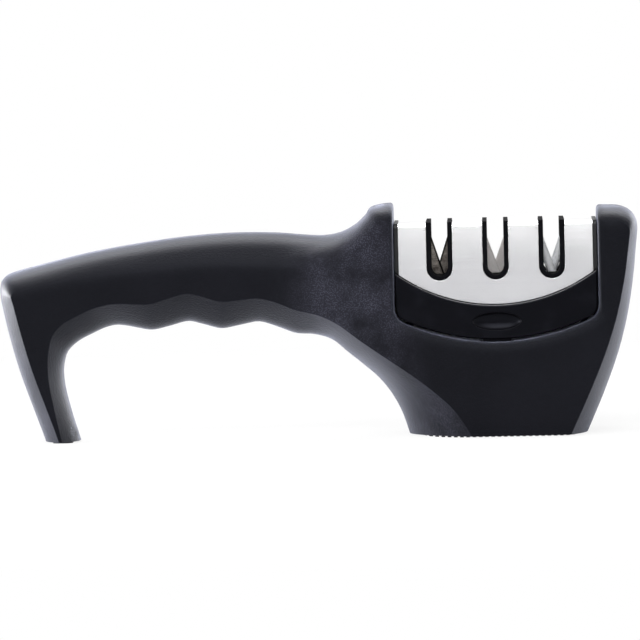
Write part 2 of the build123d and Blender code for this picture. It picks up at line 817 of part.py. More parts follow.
def diamond_bar(x, side):
    plate = plate_element(diamond_width, diamond_thickness, side, lambda e: fillet(e, diamond_round))
    return leaning(plate, x, side, diamond_half_angle)


def ceramic_rod(x, side):
    radius = ceramic_diameter / 2
    tail = element_apex - element_seat + ceramic_diameter
    start = (side * radius, side * (element_split / 2 + radius), -tail)
    rod = cylinder_along(start, (0, 0, 1), tail + element_arm, radius)
    return leaning(rod, x, side, ceramic_half_angle)


def floor_plate():
    plan = fillet(Rectangle(floor_plate_length, floor_plate_depth).vertices(), floor_plate_corner)
    low = housing_floor - floor_plate_thickness
    plate = Pos(0, 0, low) * extrude(plan, amount=floor_plate_thickness)
    for side in (-1, 1):
        start = (side * slot_pitch / 2, 0, 0)
        hole = floor_screw_shank_radius + floor_screw_play
        well = floor_screw_head_radius + floor_screw_play
        plate -= cylinder_along(start, (0, 0, 1), body_height, hole)
        plate -= cylinder_along(start, (0, 0, 1), low + floor_screw_head_height, well)
    return plate


def floor_screws():
    screws = []
    for side in (-1, 1):
        seat = housing_floor - floor_plate_thickness + floor_screw_head_height
        screws.append(
            screw(
                (side * slot_pitch / 2, 0, seat),
                (0, 0, 1),
                floor_screw_shank_radius,
                floor_screw_reach,
                floor_screw_head_radius,
                floor_screw_head_height,
                floor_screw_shank_radius,
                floor_screw_head_height / 2,
            )
        )
    return Compound(children=screws)


def release_panel():
    """The front crescent panel, with its thumb dimple, knuckles and latch tab."""
    half = notch_half - panel_side_gap
    top_radius = cover_arc_radius + panel_seam
    bottom_radius = notch_floor_radius - panel_gap
    corner = notch_corner_radius - panel_side_gap
    face = panel_face(half, top_radius, bottom_radius, corner)
    panel = front_prism(face, panel_back, panel_front)
    rim = [edge for edge in panel.edges() if abs(edge.center().Y + panel_front) < skin_tolerance]
    panel = fillet(rim, panel_edge_round)
    scoop = scale(Sphere(1), by=(dimple_half_length, dimple_depth, dimple_half_height))
    panel -= Pos(0, -panel_front, dimple_height) * scoop
    low = notch_floor + panel_gap
    tab_top = low + panel_thickness
    panel += latch_box(0, low - latch_length, tab_top, panel_back)
    for side in (-1, 1):
        outer = housing_half - housing_wall - knuckle_inset / 2
        ends = sorted((side * outer, side * (outer - knuckle_length)))
        start = (ends[0], -panel_axis_depth, panel_axis_height)
        panel += cylinder_along(start, (1, 0, 0), knuckle_length, knuckle_radius)
        arm = (panel_axis_height - knuckle_radius, panel_axis_height + knuckle_radius)
        panel += slab(ends, (-panel_back - skin_tolerance, -panel_axis_depth), arm)
    start = (-housing_width, -panel_axis_depth, panel_axis_height)
    return panel - cylinder_along(start, (1, 0, 0), 2 * housing_width, panel_pin_radius + panel_pin_play)


def hinge_pin():
    length = housing_width - 2 * panel_pin_inset
    start = (-length / 2, -panel_axis_depth, panel_axis_height)
    return cylinder_along(start, (1, 0, 0), length, panel_pin_radius)


def release_spring():
    """The front panel's bowed strip, from the recess wall out to the panel's back."""
    half = spring_span / 2
    near = recess_front + spring_play / 2
    far = panel_back - spring_play
    low = spring_centre_height - spring_height / 2
    outer = ThreePointArc((-half, -near - spring_sheet), (0, -far), (half, -near - spring_sheet))
    inner = ThreePointArc((-half, -near), (0, -far + spring_sheet), (half, -near))
    left = Line((-half, -near - spring_sheet), (-half, -near))
    right = Line((half, -near - spring_sheet), (half, -near))
    return Pos(0, 0, low) * extrude(make_face([outer, right, inner, left]), amount=spring_height)


def save(piece, node):
    export_step(piece, "parts/" + node + ".step")


os.makedirs("parts", exist_ok=True)
front_shell, rear_shell = shells()
save(front_shell, "front_shell")
save(rear_shell, "rear_shell")
save(base_plate(), "base_plate")
save(base_pad(), "base_pad")
save(hook_pad(), "hook_pad")
save(shell_screws(), "shell_screws")
save(base_screws(), "base_screws")
save(housing(), "cartridge_housing")
save(steel_cover(), "steel_cover")
save(floor_plate(), "cartridge_floor")
save(floor_screws(), "cartridge_screws")

carbide_x, diamond_x, ceramic_x = slot_places()
window = element_split / 2 + liner_window_play
save(liner(carbide_x, window + carbide_thickness), "coarse_slot_liner")
save(liner(diamond_x, window + diamond_thickness), "medium_slot_liner")
save(liner(ceramic_x, window + ceramic_diameter), "fine_slot_liner")
for side, name in ((-1, "left"), (1, "right")):
    save(carbide_blade(carbide_x, side), "carbide_blade_" + name)
    save(diamond_bar(diamond_x, side), "diamond_bar_" + name)
    save(ceramic_rod(ceramic_x, side), "ceramic_rod_" + name)

for piece, name in (
    (release_panel(), "release_panel"),
    (hinge_pin(), "hinge_pin"),
    (release_spring(), "release_spring"),
):
    save(piece, "front_" + name)
    save(mirror(piece, about=Plane.XZ), "rear_" + name)
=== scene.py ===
import json
import math
from typing import NamedTuple

import bmesh
import bpy
from bpy.props import FloatProperty, FloatVectorProperty, IntProperty, PointerProperty
from bpy.types import Operator, Panel, PropertyGroup
from mathutils import Matrix, Vector


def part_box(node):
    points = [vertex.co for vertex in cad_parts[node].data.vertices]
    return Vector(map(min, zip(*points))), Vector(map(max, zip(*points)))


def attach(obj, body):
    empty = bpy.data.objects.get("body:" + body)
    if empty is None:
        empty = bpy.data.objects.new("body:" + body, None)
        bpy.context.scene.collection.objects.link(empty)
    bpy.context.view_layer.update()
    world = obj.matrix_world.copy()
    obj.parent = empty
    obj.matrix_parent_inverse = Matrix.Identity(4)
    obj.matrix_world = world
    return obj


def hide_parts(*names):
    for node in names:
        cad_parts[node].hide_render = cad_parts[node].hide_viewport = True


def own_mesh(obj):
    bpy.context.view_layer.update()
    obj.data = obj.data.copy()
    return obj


bl_info = {
    "name": "Pull-through knife sharpener",
    "version": (1, 0, 0),
    "blender": (4, 5, 0),
    "location": "3D View > Sidebar > Sharpener",
    "description": "Finishes for a pull-through knife sharpener, with its floor, lamps and camera",
    "category": "Object",
}

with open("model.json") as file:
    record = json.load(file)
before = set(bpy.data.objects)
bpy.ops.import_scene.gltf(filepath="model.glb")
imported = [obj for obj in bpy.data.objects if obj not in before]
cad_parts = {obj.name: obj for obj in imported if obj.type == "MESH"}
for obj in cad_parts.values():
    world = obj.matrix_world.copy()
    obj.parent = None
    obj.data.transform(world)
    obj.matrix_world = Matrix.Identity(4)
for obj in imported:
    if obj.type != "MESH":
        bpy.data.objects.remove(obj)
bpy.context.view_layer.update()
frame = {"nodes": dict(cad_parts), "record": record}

SHELLS = ("front_shell", "rear_shell")
INNER_MOULDINGS = ("cartridge_housing", "cartridge_floor", "base_plate")
LINERS = ("coarse_slot_liner", "medium_slot_liner", "fine_slot_liner")
RELEASE_PANELS = ("front_release_panel", "rear_release_panel")
FEET = ("base_pad", "hook_pad")
FASTENERS = (
    "shell_screws",
    "base_screws",
    "cartridge_screws",
    "front_hinge_pin",
    "rear_hinge_pin",
)
CARBIDE_BLADES = ("carbide_blade_left", "carbide_blade_right")
DIAMOND_BARS = ("diamond_bar_left", "diamond_bar_right")
CERAMIC_RODS = ("ceramic_rod_left", "ceramic_rod_right")

# The Mix node's two inputs and its output, for each kind of value that it mixes
MIX_SOCKETS = {"VECTOR": (4, 5, 1), "RGBA": (6, 7, 2)}

WHITE = (1.0, 1.0, 1.0, 1.0)


class SoftBox(NamedTuple):
    """A soft lamp round the object.

    Its turn from the front and its height are in degrees, and its distance and size in metres.
    Its share is its part of the stage's soft box light.
    """

    name: str
    turn: float
    height: float
    distance: float
    size: tuple
    share: float

    def away(self):
        """The direction from the object to the lamp."""
        turn, height = math.radians(self.turn), math.radians(self.height)
        across = math.cos(height)
        return Vector((math.sin(turn) * across, -math.cos(turn) * across, math.sin(height)))


SOFT_BOXES = (
    SoftBox("overhead_box", 180.0, 66.0, 1.0, (1.3, 0.5), 1.0),
    SoftBox("front_box", 0.0, 38.0, 1.0, (0.6, 0.8), 1.35),
    SoftBox("left_box", -52.0, 6.0, 0.8, (0.5, 0.5), 1.9),
    SoftBox("left_rim_box", -112.0, 4.0, 0.6, (0.5, 0.3), 1.3),
    SoftBox("left_low_box", -100.0, 0.0, 0.34, (0.25, 0.06), 3.6),
    SoftBox("right_box", 86.0, 8.0, 0.8, (0.5, 0.5), 0.5),
    SoftBox("right_rim_box", 138.0, 10.0, 0.8, (0.5, 0.4), 0.4),
)


class Signal:
    """A node output that is used in sums, products and powers as if it were a number."""

    def __init__(self, network, socket):
        self.network = network
        self.socket = socket

    def _join(self, operation, first, second):
        values = {0: first, 1: second}
        return self.network.node("ShaderNodeMath", {"operation": operation}, values).out("Value")

    def __add__(self, other):
        return self._join("ADD", self, other)

    def __radd__(self, other):
        return self._join("ADD", other, self)

    def __sub__(self, other):
        return self._join("SUBTRACT", self, other)

    def __rsub__(self, other):
        return self._join("SUBTRACT", other, self)

    def __mul__(self, other):
        return self._join("MULTIPLY", self, other)

    def __rmul__(self, other):
        return self._join("MULTIPLY", other, self)

    def __truediv__(self, other):
        return self._join("DIVIDE", self, other)

    def __rtruediv__(self, other):
        return self._join("DIVIDE", other, self)

    def __pow__(self, other):
        return self._join("POWER", self, other)

    def __rpow__(self, other):
        return self._join("POWER", other, self)

    def __abs__(self):
        return self._join("ABSOLUTE", self, 0.0)

    def largest(self, other):
        """The larger of two values, which joins two masks."""
        return self._join("MAXIMUM", self, other)

    def ramp(self, low, high):
        """Runs smoothly from 0 at low to 1 at high."""
        settings = {"interpolation_type": "SMOOTHSTEP", "clamp": True}
        values = {"Value": self, "From Min": low, "From Max": high}
        return self.network.node("ShaderNodeMapRange", settings, values).out("Result")

    def swing(self, width):
        """Shifts a pattern of 0 to 1 to run round 0, over the width."""
        return (self - 0.5) * width


class Made:
    """A node that was added to a network."""

    def __init__(self, network, item):
        self.network = network
        self.item = item

    def out(self, socket):
        """An output, by its name or by its place among the outputs."""
        return Signal(self.network, self.item.outputs[socket])


class Network:
    """The nodes of a material or of the room's light."""

    node_columns = 12
    column_width = 220
    row_height = 180

    def __init__(self, owner, output_kind):
        owner.use_nodes = True
        self.tree = owner.node_tree
        self.tree.nodes.clear()
        self.output = self.tree.nodes.new(output_kind)
        self.count = 0

    def node(self, kind, settings=None, inputs=None):
        """Adds a node: its settings come first, then the values or links of its sockets."""
        item = self.tree.nodes.new(kind)
        self.count += 1
        row, column = divmod(self.count, self.node_columns)
        item.location = (-self.column_width * column, -self.row_height * row)
        for key, value in (settings or {}).items():
            setattr(item, key, value)
        for key, value in (inputs or {}).items():
            socket = item.inputs[key]
            if isinstance(value, Signal):
                self.tree.links.new(value.socket, socket)
            else:
                socket.default_value = value
        return Made(self, item)

    def part_of(self, vector, axis):
        """A vector's part along X, Y or Z."""
        return self.node("ShaderNodeSeparateXYZ", inputs={"Vector": vector}).out(axis)

    def vector_maths(self, operation, *values):
        """A node that works on vectors, and takes the values in turn."""
        inputs = dict(enumerate(values))
        return self.node("ShaderNodeVectorMath", {"operation": operation}, inputs)

    def mix(self, kind, share, first, second):
        """A colour or a vector between two others."""
        first_input, second_input, output = MIX_SOCKETS[kind]
        values = {0: share, first_input: first, second_input: second}
        return self.node("ShaderNodeMix", {"data_type": kind}, values).out(output)

    def join(self, signal):
        """Leads a finished shader to the output."""
        self.tree.links.new(signal.socket, self.output.inputs["Surface"])


class Finish(Network):
    """A material under construction, with one shader."""

    def __init__(self, name):
        self.material = bpy.data.materials.new(name)
        super().__init__(self.material, "ShaderNodeOutputMaterial")

    def place(self):
        """The point on the piece, in metres, before it moves."""
        return self.node("ShaderNodeTexCoord").out("Object")

    def stretched(self, vector, scales):
        """A place with its parts along X, Y and Z each multiplied by a scale."""
        return self.vector_maths("MULTIPLY", vector, scales).out("Vector")

    def noise(self, vector, scale=1.0, detail=2.0, roughness=0.5):
        """Soft patches, about as many to the metre as the scale."""
        values = {"Vector": vector, "Scale": scale, "Detail": detail, "Roughness": roughness}
        return self.node("ShaderNodeTexNoise", inputs=values).out("Fac")

    def cells(self, vector, scale):
        """Round grains, 0 in the middle of each, about as many to the metre as the scale."""
        values = {"Vector": vector, "Scale": scale}
        return self.node("ShaderNodeTexVoronoi", inputs=values).out("Distance")

    def blend(self, share, first, second):
        """A colour between two colours."""
        return self.mix("RGBA", share, first, second)

    def soft_edges(self, radius, samples=6):
        """The surface direction with every sharp edge eased by a radius."""
        return self.node("ShaderNodeBevel", {"samples": samples}, {"Radius": radius}).out("Normal")

    def round_tops(self, eased, radius, side_share=0.5, full_tilt=0.08):
        """The surface direction with the long turns into upward faces eased by a wide radius."""
        wide = self.soft_edges(radius)
        sideways = abs(self.part_of(wide, "X"))
        upward = (self.part_of(wide, "Z") - sideways * side_share).ramp(0.0, full_tilt)
        turned = self.mix("VECTOR", upward, eased, wide)
        return self.vector_maths("NORMALIZE", turned).out("Vector")

    def edge_mask(self, eased, first_turn=0.004, full_turn=0.12):
        """1 on the eased edges and 0 on the faces between them."""
        flat = self.node("ShaderNodeNewGeometry").out("Normal")
        along = self.vector_maths("DOT_PRODUCT", eased, flat).out("Value")
        return (1 - along).ramp(first_turn, full_turn)

    def bumped(self, height, distance, strength, normal=None):
        """The surface direction over a height pattern, whose full depth is the distance."""
        values = {"Height": height, "Distance": distance, "Strength": strength}
        if normal is not None:
            values["Normal"] = normal
        return self.node("ShaderNodeBump", inputs=values).out("Normal")

    def surface(self, **looks):
        """Adds the shader, its sockets named as in base_color, and joins it to the output."""
        values = {}
        for key, value in looks.items():
            values[key.replace("_", " ").title().replace("Ior", "IOR")] = value
        self.join(self.node("ShaderNodeBsdfPrincipled", inputs=values).out("BSDF"))


def rgba(colour, share=1.0):
    """A colour as a shader takes it, made darker or lighter by a share."""
    return (colour[0] * share, colour[1] * share, colour[2] * share, 1.0)


def dress(nodes, material):
    """Gives CAD pieces a finish."""
    for name in nodes:
        piece = frame["nodes"][name]
        piece.data.materials.clear()
        piece.data.materials.append(material)


class SharpenerLooks(PropertyGroup):
    """Colours and sizes of the sharpener's finishes"""

    shell_colour: FloatVectorProperty(
        name="Shell colour",
        description="Colour of the moulded grip and head",
        subtype="COLOR",
        size=3,
        min=0.0,
        max=1.0,
        default=(0.0030, 0.0030, 0.0042),
    )
    shell_grain: FloatProperty(
        name="Shell grain",
        description="Size of the fine grain moulded into the shells",
        unit="LENGTH",
        min=0.0001,
        default=0.0006,
    )
    shell_sheen: FloatProperty(
        name="Shell roughness",
        description="How soft the reflections on the shells are",
        min=0.0,
        max=1.0,
        default=0.38,
    )
    panel_colour: FloatVectorProperty(
        name="Panel colour",
        description="Colour of the glossy release panels",
        subtype="COLOR",
        size=3,
        min=0.0,
        max=1.0,
        default=(0.0018, 0.0018, 0.0026),
    )
    steel_colour: FloatVectorProperty(
        name="Steel colour",
        description="Colour of the cover's brushed steel",
        subtype="COLOR",
        size=3,
        min=0.0,
        max=1.0,
        default=(0.62, 0.62, 0.64),
    )
    steel_grain: FloatProperty(
        name="Steel grain",
        description="Width of the brush lines on the cover",
        unit="LENGTH",
        min=0.00005,
        default=0.0002,
    )
    spring_sheet: FloatProperty(
        name="Spring thickness",
        description="Thickness of the release springs' strip",
        unit="LENGTH",
        min=0.00005,
        default=0.0003,
    )
    spring_steps: IntProperty(
        name="Spring steps",
        description="Number of flat steps along each bowed spring",
        min=2,
        default=32,
    )
    rubber_colour: FloatVectorProperty(
        name="Rubber colour",
        description="Colour of the ribbed feet",
        subtype="COLOR",
        size=3,
        min=0.0,
        max=1.0,
        default=(0.016, 0.016, 0.016),
    )
    edge_ease: FloatProperty(
        name="Edge ease",
        description="How wide the catch of light along moulded edges is",
        unit="LENGTH",
        min=0.0,
        default=0.00035,
    )
    neck_reach: FloatProperty(
        name="Neck reach",
        description="How far the rubbed grain between the grip and the head reaches",
        unit="LENGTH",
        min=0.001,
        default=0.026,
    )
    top_ease: FloatProperty(
        name="Top ease",
        description="How softly the shells' sides turn into their tops",
        unit="LENGTH",
        min=0.0,
        default=0.005,
    )


class StageLooks(PropertyGroup):
    """The camera, the light and the floor"""

    distance: FloatProperty(
        name="Camera distance",
        description="From the middle of the picture to the camera",
        unit="LENGTH",
        default=2.2,
    )
    picture_width: FloatProperty(
        name="Picture width",
        description="What the picture takes in at the object",
        unit="LENGTH",
        default=0.2066,
    )
    elevation: FloatProperty(
        name="Camera elevation",
        description="Angle of the camera above the table",
        subtype="ANGLE",
        default=math.radians(3.2),
    )
    azimuth: FloatProperty(
        name="Camera azimuth",
        description="Angle of the camera round the object",
        subtype="ANGLE",
        default=math.radians(1.5),
    )
    roll: FloatProperty(
        name="Camera roll",
        description="Turn of the picture",
        subtype="ANGLE",
        default=math.radians(1.3),
    )
    aim: FloatVectorProperty(
        name="Camera aim",
        description="The point in the middle of the picture",
        subtype="TRANSLATION",
        unit="LENGTH",
        size=3,
        default=(-0.0571, 0.0, 0.0376),
    )
    room_light: FloatProperty(
        name="Room light",
        description="Level of the plain light from all round",
        min=0.0,
        default=0.3,
    )
    front_dimming: FloatProperty(
        name="Front dimming",
        description="How much darker the room is behind the camera",
        min=0.0,
        max=1.0,
        default=0.65,
    )
    box_light: FloatProperty(
        name="Soft box light",
        description="Brightness of the soft boxes over and beside the object",
        min=0.0,
        default=4.5,
    )
    floor_glow: FloatProperty(
        name="Floor glow",
        description="How far the floor is lifted to the white of the backdrop",
        min=0.0,
        max=1.0,
        default=0.85,
    )
    floor_colour: FloatVectorProperty(
        name="Floor colour",
        description="Colour of the pale floor",
        subtype="COLOR",
        size=3,
        min=0.0,
        max=1.0,
        default=(0.75, 0.75, 0.75),
    )


class SHARPENER_OT_shells(Operator):
    """Finish the two shells in fine-grained black plastic"""

    bl_idname = "sharpener.shells"
    bl_label = "Shells"

    def execute(self, context):
        looks = context.scene.sharpener_looks
        finish = Finish("shell_plastic")
        place = finish.place()
        eased = finish.soft_edges(looks.edge_ease)
        edge_wear_and_highlight = finish.edge_mask(eased)
        grain = finish.cells(place, scale=1 / looks.shell_grain)
        fine = finish.noise(place, scale=2.2 / looks.shell_grain, detail=3.0)
        broad = finish.noise(place, scale=28.0, detail=3.0)
        handling_and_glint_patches = finish.noise(place, scale=90.0, detail=4.0, roughness=0.6)
        rounded = finish.round_tops(eased, looks.top_ease)
        tone = finish.blend(
            broad.ramp(low=0.35, high=0.7),
            rgba(looks.shell_colour, share=0.8),
            rgba(looks.shell_colour, share=1.25),
        )
        # Painted highlight: the eased edges, the notch rim among them, are lightened as if
        # catching light; their lower roughness is wear.
        edge_wear_and_highlight_tone = rgba(looks.shell_colour, share=7.0)
        tone = finish.blend(edge_wear_and_highlight * 0.5, tone, edge_wear_and_highlight_tone)
        # Painted glints: tops of the grain are lightened round the neck and on left-facing faces,
        # as if the left lamps caught them.
        grain_tops = 1 - finish.cells(place, scale=1.5 / looks.shell_grain)
        specks = grain_tops.ramp(low=0.40, high=1.0) * 0.8 + 0.2
        painted_glint = self.painted_glint_places(finish, looks, place, eased)
        painted_glint_share = specks * handling_and_glint_patches.ramp(low=0.25, high=0.70) * painted_glint
        painted_glint_tone = rgba(looks.shell_colour, share=16.0)
        tone = finish.blend(painted_glint_share, tone, painted_glint_tone)
        height = grain * 0.6 + fine * 0.4
        finish.surface(
            base_color=tone,
            roughness=looks.shell_sheen + handling_and_glint_patches.swing(0.10) + fine.swing(0.08) - edge_wear_and_highlight * 0.10,
            specular_ior_level=0.8,
            specular_tint=(0.06, 0.064, 0.075, 1.0),
            sheen_weight=0.36,
            sheen_roughness=0.42,
            sheen_tint=(0.70, 0.75, 1.0, 1.0),
            normal=finish.bumped(height, distance=0.0001, strength=0.8, normal=rounded),
        )
        dress(SHELLS, finish.material)
        return {"FINISHED"}

    def painted_glint_places(self, finish, looks, place, eased):
        """1 where the grain gets painted glints: round the neck, and on faces turned left or
        down-left, towards the left lamps.
        """
        head_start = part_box("cartridge_housing")[0].x
        neck_middle = head_start - looks.neck_reach * 0.5
        from_neck = abs(finish.part_of(place, "X") - neck_middle)
        neck = 1 - from_neck.ramp(low=looks.neck_reach * 0.3, high=looks.neck_reach)
        leftward = (finish.part_of(eased, "X") * -1.0).ramp(low=0.3, high=0.6)
        upward = finish.part_of(eased, "Z").ramp(low=0.0, high=0.2)
        return neck.largest(leftward * (1 - upward))


class SHARPENER_OT_inner_mouldings(Operator):
    """Finish the cartridge housing, its floor and the base plate in plain black plastic"""

    bl_idname = "sharpener.inner_mouldings"
    bl_label = "Inner mouldings"

    def execute(self, context):
        looks = context.scene.sharpener_looks
        finish = Finish("inner_plastic")
        place = finish.place()
        eased = finish.soft_edges(looks.edge_ease)
        edge_wear_and_highlight = finish.edge_mask(eased)
        grain = finish.noise(place, scale=1600.0, detail=3.0)
        broad = finish.noise(place, scale=60.0, detail=3.0)
        tone = finish.blend(
            broad.ramp(low=0.3, high=0.7),
            rgba(looks.shell_colour, share=0.7),
            rgba(looks.shell_colour, share=1.1),
        )
        # Painted highlight: the eased edges are lightened as if catching light; their lower
        # roughness is wear.
        tone = finish.blend(edge_wear_and_highlight * 0.6, tone, rgba(looks.shell_colour, share=3.5))
        finish.surface(
            base_color=tone,
            roughness=0.50 + broad.swing(0.16) - edge_wear_and_highlight * 0.12,
            specular_ior_level=0.35,
            normal=finish.bumped(grain, distance=0.00004, strength=0.3, normal=eased),
        )
        dress(INNER_MOULDINGS, finish.material)
        return {"FINISHED"}


class SHARPENER_OT_slot_liners(Operator):
    """Finish the three slot liners in smooth black plastic, scuffed where blades pass"""

    bl_idname = "sharpener.slot_liners"
    bl_label = "Slot liners"

    def execute(self, context):
        looks = context.scene.sharpener_looks
        finish = Finish("liner_plastic")
        place = finish.place()
        eased = finish.soft_edges(looks.edge_ease * 0.6)
        edge_wear_and_highlight = finish.edge_mask(eased)
        through_slot = finish.stretched(place, (900.0, 40.0, 900.0))
        drawn = finish.noise(through_slot, detail=4.0, roughness=0.6)
        scuffs = drawn.ramp(low=0.58, high=0.74)
        tone = finish.blend(
            scuffs * 0.5,
            rgba(looks.shell_colour, share=0.6),
            rgba(looks.shell_colour, share=3.0),
        )
        # Painted highlight: the eased edges are lightened as if catching light; their lower
        # roughness is wear.
        tone = finish.blend(edge_wear_and_highlight * 0.4, tone, rgba(looks.shell_colour, share=1.5))
        finish.surface(
            base_color=tone,
            roughness=0.74 + scuffs * 0.2 - edge_wear_and_highlight * 0.06,
            specular_ior_level=0.04,
            normal=finish.bumped(drawn, distance=0.00002, strength=0.25, normal=eased),
        )
        dress(LINERS, finish.material)
        return {"FINISHED"}


class SHARPENER_OT_release_panels(Operator):
    """Finish the two crescent panels in glossy black plastic with faint handling marks"""

    bl_idname = "sharpener.release_panels"
    bl_label = "Release panels"

    def execute(self, context):
        looks = context.scene.sharpener_looks
        finish = Finish("panel_plastic")
        place = finish.place()
        eased = finish.soft_edges(looks.edge_ease)
        edge_wear_and_highlight = finish.edge_mask(eased)
        ripple = finish.noise(place, scale=55.0)
        marks = finish.noise(place, scale=130.0, detail=5.0, roughness=0.65)
        touched = marks.ramp(low=0.50, high=0.72)
        level_lines = finish.stretched(place, (60.0, 60.0, 1500.0))
        hairs = finish.noise(level_lines, detail=3.0).ramp(low=0.66, high=0.72)
        tone = finish.blend(
            touched * 0.5, rgba(looks.panel_colour), rgba(looks.panel_colour, share=2.0)
        )
        finish.surface(
            base_color=tone,
            roughness=0.30 + touched * 0.10 + hairs * 0.05 + edge_wear_and_highlight * 0.05,
            specular_ior_level=0.6,
            specular_tint=(0.10, 0.105, 0.13, 1.0),
            normal=finish.bumped(ripple, distance=0.0002, strength=0.08, normal=eased),
        )
        dress(RELEASE_PANELS, finish.material)
        return {"FINISHED"}


class SHARPENER_OT_steel_cover(Operator):
    """Finish the bent cover in steel brushed along its length"""

    bl_idname = "sharpener.steel_cover"
    bl_label = "Steel cover"

    def execute(self, context):
        looks = context.scene.sharpener_looks
        finish = Finish("cover_steel")
        place = finish.place()
        eased = finish.soft_edges(radius=0.00018)
        edge_wear_and_highlight = finish.edge_mask(eased)
        across = 1 / looks.steel_grain
        short_strokes = finish.stretched(place, (26.0, across, across))
        lines = finish.noise(short_strokes, detail=4.0, roughness=0.7)
        long_strokes = finish.stretched(place, (6.0, across * 0.3, across * 0.3))
        long_lines = finish.noise(long_strokes, detail=3.0)
        clouds = finish.noise(place, scale=70.0, detail=3.0)
        tone = finish.blend(
            (lines * 0.6 + long_lines * 0.4).ramp(low=0.35, high=0.65),
            rgba(looks.steel_colour, share=0.96),
            rgba(looks.steel_colour, share=1.02),
        )
        # Painted highlight: the steel is lightened towards the top of the cover, where it catches
        # more light.
        low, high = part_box("steel_cover")
        rise = (finish.part_of(place, "Z") - low.z) / (high.z - low.z)
        painted_top_highlight, edge_wear_and_highlight_tone = rgba((0.97, 0.97, 0.98)), rgba((0.93, 0.93, 0.94))
        tone = finish.blend(rise**3, tone, painted_top_highlight)
        # Painted highlight: the eased edges are lightened as if catching light.
        tone = finish.blend(edge_wear_and_highlight, tone, edge_wear_and_highlight_tone)
        finish.surface(
            base_color=tone,
            metallic=1.0,
            roughness=0.24 + lines.swing(0.05) + clouds.swing(0.05),
            anisotropic=0.7,
            anisotropic_rotation=0.25,
            normal=finish.bumped(lines, distance=0.00001, strength=0.2, normal=eased),
        )
        dress(("steel_cover",), finish.material)
        return {"FINISHED"}


class SHARPENER_OT_feet(Operator):
    """Finish the ribbed base pad and the hook's plug in dull rubber"""

    bl_idname = "sharpener.feet"
    bl_label = "Feet"

    def execute(self, context):
        looks = context.scene.sharpener_looks
        finish = Finish("foot_rubber")
        place = finish.place()
        dust = finish.noise(place, scale=350.0, detail=5.0, roughness=0.7).ramp(low=0.5, high=0.8)
        skin = finish.noise(place, scale=2400.0, detail=3.0)
        tone = finish.blend(
            dust * 0.5, rgba(looks.rubber_colour), rgba(looks.rubber_colour, share=3.0)
        )
        finish.surface(
            base_color=tone,
            roughness=0.82 + skin.swing(0.2),
            specular_ior_level=0.3,
            normal=finish.bumped(skin, distance=0.00005, strength=0.4),
        )
        dress(FEET, finish.material)
        return {"FINISHED"}


class SHARPENER_OT_fasteners(Operator):
    """Finish the screws and hinge pins in plain turned steel"""

    bl_idname = "sharpener.fasteners"
    bl_label = "Screws and pins"

    def execute(self, context):
        finish = Finish("fastener_steel")
        place = finish.place()
        eased = finish.soft_edges(radius=0.00015)
        edge_wear_and_highlight = finish.edge_mask(eased)
        stain = finish.noise(place, scale=500.0, detail=4.0, roughness=0.6)
        dull, bright = rgba((0.40, 0.40, 0.41)), rgba((0.56, 0.56, 0.57))
        # Painted highlight: the eased edges are lightened as if catching light; their lower
        # roughness is wear.
        edge_wear_and_highlight_tone = rgba((0.75, 0.75, 0.76))
        tone = finish.blend(stain.ramp(low=0.35, high=0.7), dull, bright)
        tone = finish.blend(edge_wear_and_highlight, tone, edge_wear_and_highlight_tone)
        finish.surface(
            base_color=tone,
            metallic=1.0,
            roughness=0.34 + stain.swing(0.2) - edge_wear_and_highlight * 0.08,
            normal=finish.bumped(stain, distance=0.00002, strength=0.3, normal=eased),
        )
        dress(FASTENERS, finish.material)
        return {"FINISHED"}


class SHARPENER_OT_release_springs(Operator):
    """Make the bowed springs behind the release panels"""

    bl_idname = "sharpener.release_springs"
    bl_label = "Release springs"

    def execute(self, context):
        looks = context.scene.sharpener_looks
        finish = Finish("release_spring_steel")
        place = finish.place()
        drawn = finish.noise(finish.stretched(place, (40.0, 3000.0, 3000.0)), detail=3.0)
        dull, bright = rgba((0.30, 0.31, 0.35)), rgba((0.48, 0.49, 0.53))
        finish.surface(
            base_color=finish.blend(drawn, dull, bright),
            metallic=1.0,
            roughness=0.30 + drawn.swing(0.2),
            normal=finish.bumped(drawn, distance=0.00001, strength=0.4),
        )
        for side, outward in (("front", -1.0), ("rear", 1.0)):
            self.strip(context, looks, side, outward, finish.material)
        return {"FINISHED"}

    def strip(self, context, looks, side, outward, material):
        """Bows a strip out from the housing, over the CAD spring's box."""
        node = side + "_release_spring"
        low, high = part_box(node)
        half = (high.x - low.x) / 2
        root = high.y if outward < 0 else low.y
        depth = high.y - low.y
        corners = []
        for step in range(looks.spring_steps + 1):
            along = 2 * step / looks.spring_steps - 1
            rise = (depth - looks.spring_sheet) * (1 - along**2)
            x = along * half
            inner = root + outward * rise
            outer = inner + outward * looks.spring_sheet
            corners.extend([(x, inner, low.z), (x, outer, low.z)])
            corners.extend([(x, outer, high.z), (x, inner, high.z)])
        mesh = bpy.data.meshes.new(node + "_strip")
        mesh.from_pydata(corners, [], self.faces(len(corners)))
        shell = bmesh.new()
        shell.from_mesh(mesh)
        bmesh.ops.recalc_face_normals(shell, faces=shell.faces)
        shell.to_mesh(mesh)
        shell.free()
        mesh.materials.append(material)
        piece = bpy.data.objects.new(node + "_strip", mesh)
        context.scene.collection.objects.link(piece)
        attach(piece, "cartridge")
        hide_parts(node)
        joint = next(
            item
            for item in frame["record"]["behaviour"]["joints"]
            if item["name"] == side + "_release_swing"
        )
        pressed = (joint["pos_m"][2] - low.z) * math.sin(math.radians(joint["range_deg"][1]))
        1 - pressed / depth
        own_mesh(piece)

    def faces(self, count, sides=4):
        """The two ends of a strip, and the sides between each cross-section and the next."""
        last = count - sides
        faces = [tuple(range(sides)), tuple(range(last, count))]
        for first in range(0, last, sides):
            for turn in range(sides):
                here, there = first + turn, first + (turn + 1) % sides
                faces.append((here, there, there + sides, here + sides))
        return faces


